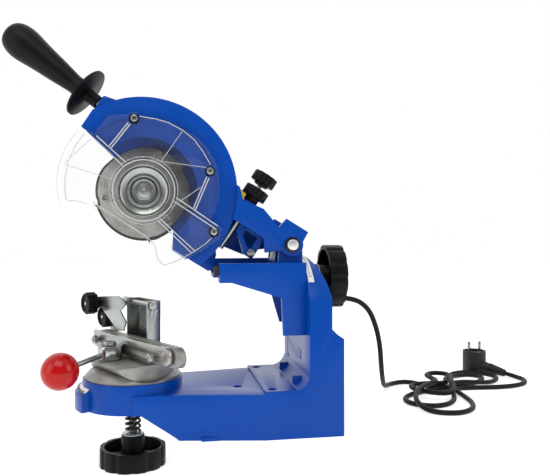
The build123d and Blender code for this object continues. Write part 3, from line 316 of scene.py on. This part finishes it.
# ---- Scales -----------------------------------------------------------------
# Two thin printed strips: one bent over the round head of the column for the
# tilt, one on the sloped ledge in front of the seat for the swivel.
def marks_tree():
    """Geometry Nodes: short bars spread over an arc in the XY plane, around Z."""
    tree = bpy.data.node_groups.new("arc_marks", "GeometryNodeTree")
    sockets = tree.interface.new_socket
    for title, kind in (("Geometry", "NodeSocketGeometry"), ("Count", "NodeSocketInt"),
                        ("Arc", "NodeSocketFloat"), ("Radius", "NodeSocketFloat"),
                        ("Bar", "NodeSocketVector"), ("Finish", "NodeSocketMaterial")):
        sockets(name=title, in_out="INPUT", socket_type=kind)
    sockets(name="Geometry", in_out="OUTPUT", socket_type="NodeSocketGeometry")
    nodes, links = tree.nodes, tree.links
    given, result = nodes.new("NodeGroupInput"), nodes.new("NodeGroupOutput")
    arc = nodes.new("GeometryNodeCurveArc")
    set_inputs(arc, {"Start Angle": 0})
    points = nodes.new("GeometryNodeCurveToPoints")
    points.mode = "COUNT"
    bar = nodes.new("GeometryNodeMeshCube")
    spread = nodes.new("GeometryNodeInstanceOnPoints")
    realize, finish = nodes.new("GeometryNodeRealizeInstances"), nodes.new("GeometryNodeSetMaterial")
    turn = nodes.new("FunctionNodeAlignRotationToVector")
    turn.axis = "X"
    turn.pivot_axis = "Z"
    outward = nodes.new("GeometryNodeInputPosition")
    for start, end in ((given.outputs["Radius"], arc.inputs["Radius"]),
                       (given.outputs["Arc"], arc.inputs["Sweep Angle"]),
                       (arc.outputs["Curve"], points.inputs["Curve"]),
                       (given.outputs["Count"], points.inputs["Count"]),
                       (points.outputs["Points"], spread.inputs["Points"]),
                       (given.outputs["Bar"], bar.inputs["Size"]),
                       (bar.outputs["Mesh"], spread.inputs["Instance"]),
                       (outward.outputs["Position"], turn.inputs["Vector"]),
                       (turn.outputs["Rotation"], spread.inputs["Rotation"]),
                       (spread.outputs["Instances"], realize.inputs["Geometry"]),
                       (realize.outputs["Geometry"], finish.inputs["Geometry"]),
                       (given.outputs["Finish"], finish.inputs["Material"]),
                       (finish.outputs["Geometry"], result.inputs["Geometry"])):
        links.new(start, end)
    return tree


ARC_MARKS = marks_tree()


def arc_marks(name, count, arc, radius, bar, rows):
    """Ink bars on an arc from +X round Z, turned and moved to their place by the rows."""
    maker = link_object(name + "_maker", bpy.data.meshes.new(name + "_maker"))
    modifier = maker.modifiers.new("marks", "NODES")
    modifier.node_group = ARC_MARKS
    values = {"Count": count, "Arc": arc, "Radius": radius, "Bar": bar, "Finish": ink}
    for socket in ARC_MARKS.interface.items_tree:
        if socket.item_type == "SOCKET" and socket.in_out == "INPUT" and socket.name in values:
            modifier[socket.identifier] = values[socket.name]
    mesh = shape_of(maker)
    bpy.data.objects.remove(maker)
    mesh.transform(rows)
    attach(link_object(name, mesh), "base")


plate_white, _ = worn_material(
    "scale_plate", (0.78, 0.78, 0.75), (0.6, 0.6, 0.58), (0.3, 0.42), 0.35, 0.00004,
    stain_amount=0.3, stain_scale=60.0)
ink, _ = worn_material("scale_ink", (0.02, 0.02, 0.02), (0.05, 0.05, 0.05), (0.4, 0.55), 0.0, 0.00002)
softened("tilt_scale_plate", "tilt_scale_strip", 0, plate_white)
softened("angle_scale_plate", "swivel_scale_strip", 0, plate_white)

# centre, arc and radius of each scale's marks, in metres
TABLE_X = -0.163
TILT_MARKS_AT, TILT_MARKS_ARC, TILT_MARKS_R = (0.0475, 0, 0.124), math.radians(84), 0.0869
SWIVEL_MARKS_AT, SWIVEL_MARKS_ARC, SWIVEL_MARKS_R = (TABLE_X, 0, 0.0549), math.radians(60), 0.0648
# the tilt scale's arc stands upright across the machine, its bars along X
UPRIGHT = Matrix(((0, 0, 1, 0), (1, 0, 0, 0), (0, 1, 0, 0), (0, 0, 0, 1)))
tilt_rows = (Matrix.Translation(TILT_MARKS_AT)
             @ Matrix.Rotation(math.radians(90) - TILT_MARKS_ARC / 2, 4, "X") @ UPRIGHT)
swivel_rows = Matrix.Translation(SWIVEL_MARKS_AT) @ Matrix.Rotation(math.pi - SWIVEL_MARKS_ARC / 2, 4, "Z")
for name, count, reach, width in (("tilt_marks_fine", 37, 2.4, 0.35), ("tilt_marks_long", 7, 4.2, 0.5)):
    arc_marks(name, count, TILT_MARKS_ARC, TILT_MARKS_R, (0.0003, width * MM, reach * MM), tilt_rows)
for name, count, reach, width in (("swivel_marks_fine", 25, 3.0, 0.35), ("swivel_marks_long", 7, 5.0, 0.5)):
    arc_marks(name, count, SWIVEL_MARKS_ARC, SWIVEL_MARKS_R, (reach * MM, width * MM, 0.0004), swivel_rows)

# ---- Knobs ------------------------------------------------------------------
# Black moulded knobs with fluted rims: two deep ones on the clamping studs,
# two on the depth screw and two on the chain stop. The plastic has a fine
# grain from the mould and catches the light along its rounded edges.
knob_black, knob_shader = worn_material(
    "moulded_black", (0.0025, 0.0025, 0.0028), (0.006, 0.006, 0.006), (0.36, 0.5), 0.0, 0.0001,
    stain_amount=0.4, stain_scale=25.0, grain_scale=1400.0)
set_inputs(knob_shader, {"Specular IOR Level": 0.14})
for node, name, round_off in (
        ("tilt_knob", "tilt_star_knob", 1.2), ("clamp_knob", "clamp_star_knob", 1.2),
        ("depth_screw_knob", "depth_knob", 0.9), ("lock_knob", "depth_lock_knob", 0.9),
        ("stop_knob_upper", "upper_stop_knob", 0.8), ("stop_knob_lower", "lower_stop_knob", 0.8)):
    softened(node, name, round_off, knob_black)

# ---- Plated steel -----------------------------------------------------------
# Screws, studs, flanges, the moving jaw and the stop are pressed or turned
# steel with a dull zinc plating, cloudy and bright by turns.
zinc, _ = worn_material("zinc_plating", (0.43, 0.45, 0.43), (0.23, 0.24, 0.22), (0.22, 0.38), 1.0, 0.00002,
                        stain_amount=0.45, stain_scale=35.0, grain_scale=700.0)
for node, name, round_off in (
        ("tilt_stud", "tilt_bolt", 0.5),
        ("tilt_washer", "tilt_knob_washer", 0.2), ("handle_stud", "side_handle_stud", 0.3),
        ("bracket_bolt", "bracket_bolt_and_nut", 0.4), ("guard_screws", "guard_fixing_screws", 0.5),
        ("inner_flange", "inner_wheel_flange", 0.4), ("outer_flange", "outer_wheel_cup", 0.6),
        ("flange_screw", "wheel_screw", 0.4), ("depth_screw_rod", "depth_stop_rod", 0.6),
        ("turntable_stud", "turntable_bolt", 0.4), ("knob_washer", "spring_washer_plate", 0.2),
        ("jaw_studs", "jaw_guide_studs", 0.4), ("drum_bolt", "drum_pivot_bolt", 0.5),
        ("stop_post", "stop_channel", 0.5), ("stop_pivot_rod", "stop_hinge_rod", 0.4),
        ("stop_plate", "chain_stop_flag", 0.35), ("moving_jaw", "moving_jaw_plate", 0.7),
        ("lever_rod", "clamp_lever_rod", 0.4), ("rotor_shaft", "motor_rotor_shaft", 0.4),
        ("shaft_bearings", "ball_bearings", 0.4)):
    softened(node, name, round_off, zinc)


def add_ring(work, centre, profile, steps):
    """Solid of revolution along Y round centre (x, z), from (radius, y) corners."""
    loops = [[work.verts.new((centre[0] + radius * math.cos(step * math.tau / steps), y,
                              centre[1] + radius * math.sin(step * math.tau / steps)))
              for step in range(steps)] for radius, y in profile]
    for first, second in zip(loops, loops[1:] + loops[:1]):
        for step in range(steps):
            after = (step + 1) % steps
            work.faces.new((first[step], first[after], second[after], second[step]))


def into_scene(work, rows):
    """Take a mesh drawn in mm in a local frame to its place, its faces outwards."""
    work.transform(rows @ MM_TO_M)
    bmesh.ops.recalc_face_normals(work, faces=work.faces)


def vice_ring(work, centre, profile):
    """Ring drawn in the vice's frame: along the jaw, across it and up."""
    add_ring(work, centre, profile, VICE_RING_STEPS)
    into_scene(work, VICE_ROWS)


VICE_RING_STEPS = 40
# the vice is swivelled by 60 degrees on its turntable
VICE_ROWS = Matrix.Translation((TABLE_X, 0, 0)) @ Matrix.Rotation(math.radians(-60), 4, "Z")
# raised rim of a stop knob's hollow face and bright end of its screw, as
# radius and height over the face
TRIMS = (("_rim", knob_black, ((12.4, -0.2), (12.4, 1.4), (10.4, 1.4), (9.6, -0.2))),
         ("_screw_end", zinc, ((2.4, -0.2), (2.4, 1.0), (1.8, 1.4), (0.2, 1.4))))
for knob, node, centre, face in (("upper_knob", "stop_knob_upper", (-97.0, 146.0), -16.2),
                                 ("lower_knob", "stop_knob_lower", (-85.0, 128.5), 1.6)):
    for label, material, profile in TRIMS:
        corners = [(radius, face - proud) for radius, proud in profile]
        trim = mesh_object(knob + label, vice_ring, centre, corners)
        trim.data.materials.append(material)
        attach(trim, body_of_node(node))

bright_steel, _ = worn_material(
    "bright_steel", (0.86, 0.86, 0.85), (0.7, 0.7, 0.69), (0.3, 0.42), 0.85, 0.00001,
    stain_amount=0.3, stain_scale=50.0)
softened("hinge_pin", "head_hinge_pin", 0.8, bright_steel)

# ---- Cast alloy -------------------------------------------------------------
# The turntable, vice saddle, fixed jaw and the motor's front shield are bare
# castings: warm grey, finely pitted, darker where dirt has settled.
cast_grey, _ = worn_material(
    "bare_casting", (0.36, 0.355, 0.33), (0.17, 0.165, 0.15), (0.4, 0.56), 0.8, 0.00022,
    stain_amount=0.5, stain_scale=70.0, grain_scale=1100.0)
for node, name, round_off in (
        ("turntable", "turntable_casting", 1.2), ("vice_saddle", "tipping_saddle", 1.2),
        ("fixed_jaw", "fixed_jaw_casting", 1.0), ("motor_front_bracket", "motor_bracket", 1.5)):
    softened(node, name, round_off, cast_grey)

# ---- Cam drum and ball lever ------------------------------------------------
# The clamp is a chromed drum turned by a plated rod with a red ball on its
# end. The ball is a glossy phenolic moulding.
chrome, _ = worn_material("chrome", (0.5, 0.51, 0.51), (0.28, 0.29, 0.29), (0.14, 0.24), 1.0, 0.00002,
                          stain_amount=0.3, stain_scale=40.0)
softened("clamp_drum", "cam_drum", 0.7, chrome)
ball_red, ball_shader = worn_material(
    "ball_red", (0.42, 0.0015, 0.002), (0.35, 0.001, 0.0015), (0.12, 0.2), 0.0, 0.00003,
    stain_amount=0.4, stain_scale=20.0)
set_inputs(ball_shader, {"Coat Weight": 0.25, "Specular IOR Level": 0.2, "Coat Roughness": 0.06})
softened("lever_ball", "red_ball_knob", 0, ball_red)

# ---- Springs and rubber -----------------------------------------------------
# A blackened compression spring keeps the clamping knob down, coils beside
# the pin lift the head, and a rubber bumper closes the end of the arm.
spring_black, _ = worn_material(
    "blackened_spring", (0.03, 0.022, 0.02), (0.09, 0.06, 0.045), (0.3, 0.45), 0.8, 0.00004,
    stain_amount=0.5, stain_scale=80.0)
softened("knob_spring", "clamp_knob_spring", 0, spring_black)
softened("return_spring", "head_lift_spring", 0, spring_black)
softened("hinge_clips", "pin_circlips", 0.2, spring_black)
rubber, _ = worn_material(
    "black_rubber", (0.006, 0.006, 0.006), (0.012, 0.012, 0.012), (0.5, 0.68), 0.0, 0.0001,
    stain_amount=0.4, stain_scale=30.0, grain_scale=1600.0)
softened("rest_bumper", "arm_bumper", 1.0, rubber)

# ---- Side handle ------------------------------------------------------------
# Black moulded grip with a thumb flange, screwed on a steel stud in the casting
# that covers the wheel.
softened("handle_grip", "side_handle", 0.8, knob_black)

# ---- Motor ------------------------------------------------------------------
# Painted black drum, a rear cap with slots for the cooling air and the
# laminated stator inside.
motor_black, _ = worn_material(
    "motor_paint", (0.006, 0.006, 0.0065), (0.014, 0.014, 0.014), (0.28, 0.4), 0.0, 0.0001,
    stain_amount=0.3, stain_scale=15.0)
laminated, _ = worn_material("laminations", (0.2, 0.19, 0.18), (0.12, 0.1, 0.09), (0.4, 0.6), 0.9, 0.0001)
softened("motor_body", "motor_drum", 1.0, motor_black)
softened("motor_end_cap", "motor_rear_cap", 1.0, motor_black)
softened("motor_stator", "stator_stack", 0, laminated)

# ---- Transparent wheel guard ------------------------------------------------
# Injection-moulded polycarbonate with two raised rings round the hub, doubled ribs,
# thin ribs and beads along the rim. These are drawn paler and less clear than the
# guard, as a painted highlight for the light they catch along their edges.
clear, clear_shader = principled("clear_polycarbonate", (0.985, 0.99, 0.99), 0.02)
set_inputs(clear_shader, {"Transmission Weight": 1.0, "IOR": 1.3})
softened("clear_guard", "wheel_guard_window", 0.5, clear)
# paler, half-clear material of the ribs, beads and rings: painted highlight along the guard's mouldings
rib_highlight_paint, rib_highlight_shader = principled("rib_painted_highlight", (0.8, 0.83, 0.84), 0.12)
set_inputs(rib_highlight_shader, {"Transmission Weight": 0.45, "IOR": 1.35})

# The head's frame has u up the slope from the hinge, v towards the operator
# and w square to both. The guard is drawn in it, in mm.
HEAD_TURN = math.radians(33)
HEAD_ROWS = Matrix(((-math.cos(HEAD_TURN), 0, math.sin(HEAD_TURN), 0.028), (0, -1, 0, 0),
                    (math.sin(HEAD_TURN), 0, math.cos(HEAD_TURN), 0.226), (0, 0, 0, 1)))
GUARD_FACE_V = 40.5
HUB = (184.4, -42.3)
HUB_R = 35.4
HUB_RING_STEPS = 72
SCREWS = ((HUB[0] - 52.5, HUB[1] + 62.5), (HUB[0] + 55.5, HUB[1] + 65), (88.5, -38.5))
SCREW_HEAD_V = GUARD_FACE_V + 2.55
# length, depth and width of each arm of the black crosses painted as shade in the screw heads
CROSS_ARM = (4.4, 0.3, 0.9)
# each rib or bead is a run of (u, w) points, with its width and height
BOLD, FINE, BEAD = (1.3, 3.0), (0.7, 1.2), (0.9, 1.6)
BOLD_RIBS = (((266, -22.8), (219.8, -31.4)), ((264, -18.8), (219.4, -26.2)), ((148.6, -33.8), (88, -34.4)),
             ((148.6, -28.7), (88, -30)), ((239.7, 14.5), (242.7, -22.7)), ((242.6, 14.5), (245.6, -20.8)),
             ((131.6, 12), (124.3, -28.9)), ((128.6, 12.4), (121.2, -28.7)), ((155, -62.4), (97, -74)),
             ((153.6, -59.4), (94.7, -70)))
FINE_RIBS = (((185.2, 42), (186.2, -5.2)), ((193, -5.6), (138.4, 21)), ((130.8, -2.2), (153.5, -58)),
             ((276, -66.6), (220.6, -51)), ((267.9, -25.5), (276.5, -66)))
BEADS = (((236, 28), (219.7, 35.8), (203.7, 41), (185.2, 42.8), (167.8, 41), (152.1, 35.2), (136, 27)),
         ((277, -24), (277.5, -42.5), (274.5, -61), (267, -79), (258, -93), (252, -99.5)),
         ((250, -100), (240.6, -94), (227.4, -90.4), (214.6, -91)),
         ((226, -85.6), (190, -85.8), (151, -86), (137.4, -90), (127, -101), (117, -104), (107.8, -93),
          (96, -72), (89, -55), (87, -46)))


def add_bar(work, start, end, wide, proud):
    """Straight bar on the guard's face between two (u, w) points."""
    start, end = Vector(start), Vector(end)
    along = (end - start).normalized()
    middle = (start + end) / 2
    turn = Matrix(((along.x, 0, -along.y, middle.x), (0, 1, 0, GUARD_FACE_V + proud / 2),
                   (along.y, 0, along.x, middle.y), (0, 0, 0, 1)))
    bmesh.ops.create_cube(work, size=1, matrix=turn @ Matrix.Diagonal(((end - start).length, proud, wide, 1)))


def guard_ribs(work):
    """Ribs, beads and the two rings round the hub."""
    for runs, section in ((BOLD_RIBS, BOLD), (FINE_RIBS, FINE), (BEADS, BEAD)):
        for run in runs:
            for start, end in zip(run, run[1:]):
                add_bar(work, start, end, *section)
    # inner radius, width at the foot and at the top, height
    for inner, foot, top, high in ((HUB_R, 1.6, 1.2, 4.5), (HUB_R + 4, 0.7, 0.7, 1.4)):
        add_ring(work, HUB, ((inner, GUARD_FACE_V), (inner, GUARD_FACE_V + high),
                             (inner + top, GUARD_FACE_V + high), (inner + foot, GUARD_FACE_V)),
                 HUB_RING_STEPS)
    into_scene(work, HEAD_ROWS)


def painted_shade_crosses(work):
    """Black crosses on the guard's three screw heads: painted shade for their cross recesses."""
    for u, w in SCREWS:
        for turn in (math.radians(20), math.radians(110)):
            rows = Matrix(((math.cos(turn), 0, -math.sin(turn), u), (0, 1, 0, SCREW_HEAD_V),
                           (math.sin(turn), 0, math.cos(turn), w), (0, 0, 0, 1)))
            bmesh.ops.create_cube(work, size=1, matrix=rows @ Matrix.Diagonal((*CROSS_ARM, 1)))
    into_scene(work, HEAD_ROWS)


# the black crosses on the screw heads are painted shade for their recesses
for name, draw, material, slot in (
        ("screw_cross_painted_shade", painted_shade_crosses, spring_black, slot_of_node("guard_screws")),
        ("guard_ribs", guard_ribs, rib_highlight_paint, "clear_guard")):
    piece = mesh_object(name, draw)
    piece.data.materials.append(material)
    attach(piece, "head")

# ---- Switch -----------------------------------------------------------------
# Yellow switch housing behind the head's bridge, with a green start button and
# a red stop button.
yellow, _ = worn_material("switch_yellow", (0.8, 0.55, 0.01), (0.7, 0.46, 0.01), (0.3, 0.42), 0.0, 0.00005)
green, _ = worn_material("button_green", (0.01, 0.3, 0.04), (0.01, 0.24, 0.03), (0.25, 0.35), 0.0, 0.00003)
red, _ = worn_material("button_red", (0.5, 0.01, 0.01), (0.42, 0.01, 0.01), (0.25, 0.35), 0.0, 0.00003)
softened("switch_box", "switch_housing", 1.5, yellow, 3)
softened("start_button", "green_button", 0.8, green)
softened("stop_button", "red_button", 0.8, red)

# ---- Mains cord -------------------------------------------------------------
# 7 mm black rubber lead: out of its bend protector behind the tilt knob, down
# to the bench, round a loose hank in a wire tie and on to the angled plug.
cord_black, cord_shader = worn_material(
    "cord_black", (0.006, 0.006, 0.006), (0.01, 0.01, 0.01), (0.45, 0.58), 0.0, 0.00006,
    stain_amount=0.3, stain_scale=30.0, grain_scale=1500.0)
set_inputs(cord_shader, {"Specular IOR Level": 0.2})
CORD_R = 3.5
TIE = (300.0, 112.0)
TIE_AXIS = math.radians(46)
# the run from the bend protector to the tie, the arch over the tie and the
# tail to the plug, in mm
RUN = [(107.5, 46, 150), (132, 46, 150), (155, 49, 135), (168, 55, 108), (176, 62, 80), (181, 72, 51),
       (190, 92, 25), (203, 122, 7.5), (222, 152, 3.6), (248, 164, 3.6), (264, 152, 3.6), (270, 132, 3.6),
       (279, 119, 3.6)]
ARCH = [(307, 118, 19), (309, 139, 19), (291, 149, 19), (274, 137, 19), (274, 118, 19)]
TAIL = [(338, 107, 3.6), (366, 103, 3.6), (402, 105, 3.6), (430, 118, 3.6), (443, 142, 3.6), (439, 161, 4),
        (429, 178, 6.5)]
# a lobe's ten points: share of its length from the tie, share of its half width
LOBE = ((0.17, 0.36), (0.36, 0.74), (0.60, 1.04), (0.85, 1.02), (1.03, 0.50), (1.03, -0.50), (0.85, -1.02),
        (0.60, -1.04), (0.36, -0.74), (0.17, -0.36))


def at_tie(across, z):
    """Where a strand goes through the tie, beside and above the others."""
    return (TIE[0] - across * math.sin(TIE_AXIS), TIE[1] + across * math.cos(TIE_AXIS), z)


def lobe(heading, length, half, side, heights):
    """Loop from the tie and back, to the left (1) or right (-1), with its points' heights."""
    turn = math.radians(heading)
    ahead, left = Vector((math.cos(turn), math.sin(turn))), Vector((-math.sin(turn), math.cos(turn)))
    points = []
    for (far, wide), z in zip(LOBE, heights):
        place = Vector(TIE) + ahead * far * length + left * wide * side * half
        points.append((place.x, place.y, z))
    return points


cord_route = RUN + [at_tie(7.2, 3.6)]
cord_route += lobe(41, 126, 35, 1, (3.6, 3.6, 3.6, 3.6, 3.6, 3.6, 3.6, 3.6, 7.5, 10.8)) + [at_tie(-3.6, 10.8)]
cord_route += lobe(227, 112, 31, 1, (9.5, 3.6, 3.6, 3.6, 3.6, 3.6, 3.6, 3.6, 3.6, 3.6)) + [at_tie(0, 3.6)]
cord_route += lobe(43, 104, 21, -1, (3.6, 3.6, 3.6, 3.6, 3.6, 3.6, 3.6, 6.5, 11, 12)) + [at_tie(3.6, 10.8)]
cord_route += lobe(217, 66, 31, -1, (10.8, 10.8, 10.8, 10.8, 10.8, 10.8, 10.8, 12.5, 15, 18.4)) + ARCH
cord_route += lobe(243, 138, 37, -1, (18.5, 18.5, 17, 10.8, 3.6, 3.6, 3.6, 3.6, 3.6)) + [at_tie(-7.2, 3.6)]
cord_route += TAIL


def line_curve(name, points, radius, round_steps=5):
    """Open NURBS line with a round section."""
    curve = bpy.data.curves.new(name, "CURVE")
    curve.dimensions = "3D"
    curve.bevel_depth = radius * MM
    curve.bevel_resolution = round_steps
    curve.use_fill_caps = True
    spline = curve.splines.new("NURBS")
    spline.points.add(len(points) - 1)
    for point, place in zip(spline.points, points):
        point.co = (*(value * MM for value in place), 1)
    spline.order_u = 3
    spline.use_endpoint_u = True
    spline.resolution_u = 8
    return link_object(name, curve)


cord = line_curve("mains_cord", cord_route, CORD_R)
cord.data.materials.append(cord_black)
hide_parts("cord_run", "cord_tail", "cord_coil")
attach(cord, "base")
softened("cord_gland", "bend_protector", 0.6, rubber)
plug = softened("plug_body", "mains_plug", 1.6, rubber, 3)
contacts = softened("plug_pins", "plug_contacts", 0.5, zinc)

PLUG_AT = (399.0, 227.0)
SLEEVE_LONG, SLEEVE_RIBS = 42.0, 7
SLEEVE_R_END, SLEEVE_R_PLUG = CORD_R + 1, 9
CLIP_Z_LOW, CLIP_Z_HIGH = 22, 36.6


def sleeve_ribs(work):
    """Bend ribs round the plug's sleeve, wider towards the plug."""
    start, ahead = Vector(TAIL[-1]), (Vector(TAIL[-1]) - Vector(TAIL[-2])).normalized()
    turn = ahead.to_track_quat("Z", "Y").to_matrix().to_4x4()
    for index in range(SLEEVE_RIBS):
        share = 0.06 + 0.1 * index
        radius = SLEEVE_R_END + (SLEEVE_R_PLUG - SLEEVE_R_END) * share + 0.9
        rows = Matrix.Translation(start + ahead * SLEEVE_LONG * share) @ turn
        bmesh.ops.create_cone(work, cap_ends=True, segments=32, radius1=radius, radius2=radius + 0.3,
                              depth=2.2, matrix=rows)
    work.transform(MM_TO_M)


def earth_clips(work):
    """Two flat contacts in the sides of the plug."""
    for side in (-1, 1):
        y = PLUG_AT[1] + side * 17.4
        add_block(work, (PLUG_AT[0] - 3, y - 0.9, CLIP_Z_LOW), (PLUG_AT[0] + 3, y + 0.9, CLIP_Z_HIGH))
    work.transform(MM_TO_M)


ribbed, clips = mesh_object("plug_sleeve_ribs", sleeve_ribs), mesh_object("plug_earth_clips", earth_clips)
for piece, material in ((ribbed, rubber), (clips, zinc)):
    piece.data.materials.append(material)
    attach(piece, "base")
wire_tie = softened("cord_tie", "wire_tie", 0.3, rubber)
